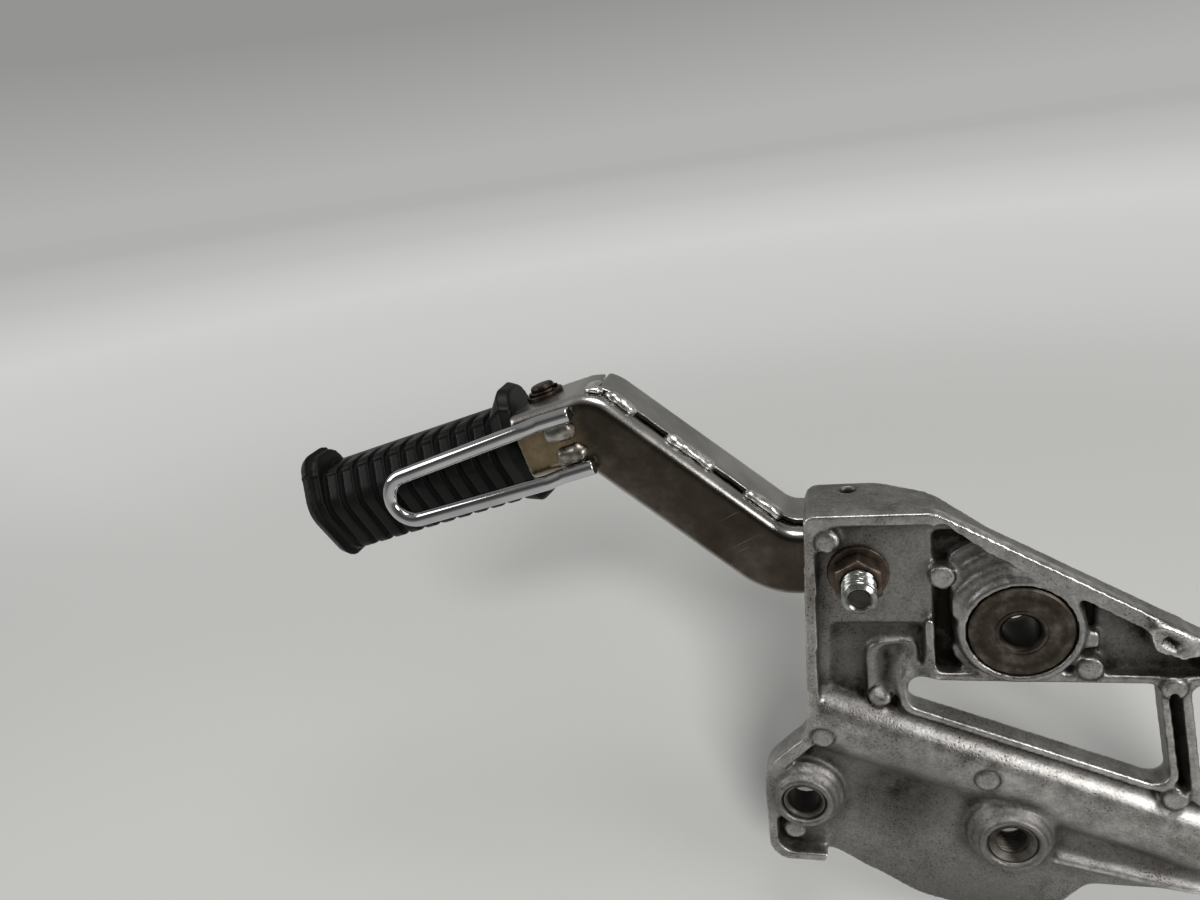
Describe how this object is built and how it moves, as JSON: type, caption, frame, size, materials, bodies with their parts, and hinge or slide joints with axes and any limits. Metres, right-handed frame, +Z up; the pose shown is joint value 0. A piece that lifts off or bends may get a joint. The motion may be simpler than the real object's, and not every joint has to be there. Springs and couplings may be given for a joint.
{
  "type": "motorcycle footrest hanger",
  "caption": "Cast plate with bushed and threaded bosses and a welded box arm that carries a folding ribbed rubber passenger peg beside a bent wire guard loop.",
  "frame": {"origin": "axis of the main bush, on the face of the plate's rim", "axes": "+X forward along the plate, away from the peg; +Y outward, along the main bush; +Z up"},
  "size_m": [0.3264, 0.0564, 0.1911],
  "materials": {
    "cast_aluminium": "satin as cast, stained",
    "turned_steel": "turned, dark patina",
    "rubber": "semi-matt moulded",
    "arm_steel": "satin zinc, scratched",
    "weld_steel": "bright weld bead",
    "chromed_wire": "polished",
    "zinc_steel": "bright zinc",
    "oxide_steel": "dark brown oxide"
  },
  "bodies": {
    "hanger": {"hanger_plate": "cast_aluminium", "bush_sleeve": "turned_steel", "bush_rubber": "rubber", "bush_end_washer": "turned_steel", "dowel_sleeve": "turned_steel", "thread_insert": "turned_steel", "front_channel": "arm_steel", "rear_channel": "arm_steel", "seam_welds": "weld_steel", "guard_loop": "chromed_wire", "loop_welds": "weld_steel", "spacer_tube": "turned_steel", "mounting_bolt": "zinc_steel", "bolt_washer": "zinc_steel", "mounting_nut": "oxide_steel", "nut_washer": "oxide_steel", "pivot_pin": "oxide_steel", "pin_clip": "oxide_steel", "pin_washer": "oxide_steel", "wave_washer": "zinc_steel", "lower_washer": "zinc_steel"},
    "peg": {"peg_core": "oxide_steel", "peg_rubber": "rubber"}
  },
  "joints": [
    {"name": "peg_fold", "type": "hinge", "parent": "hanger", "child": "peg", "pos_m": [-0.13825, 0.0279, 0.06222], "axis": [0.2419, 0, -0.9703], "range_deg": [0, 90]}
  ]
}
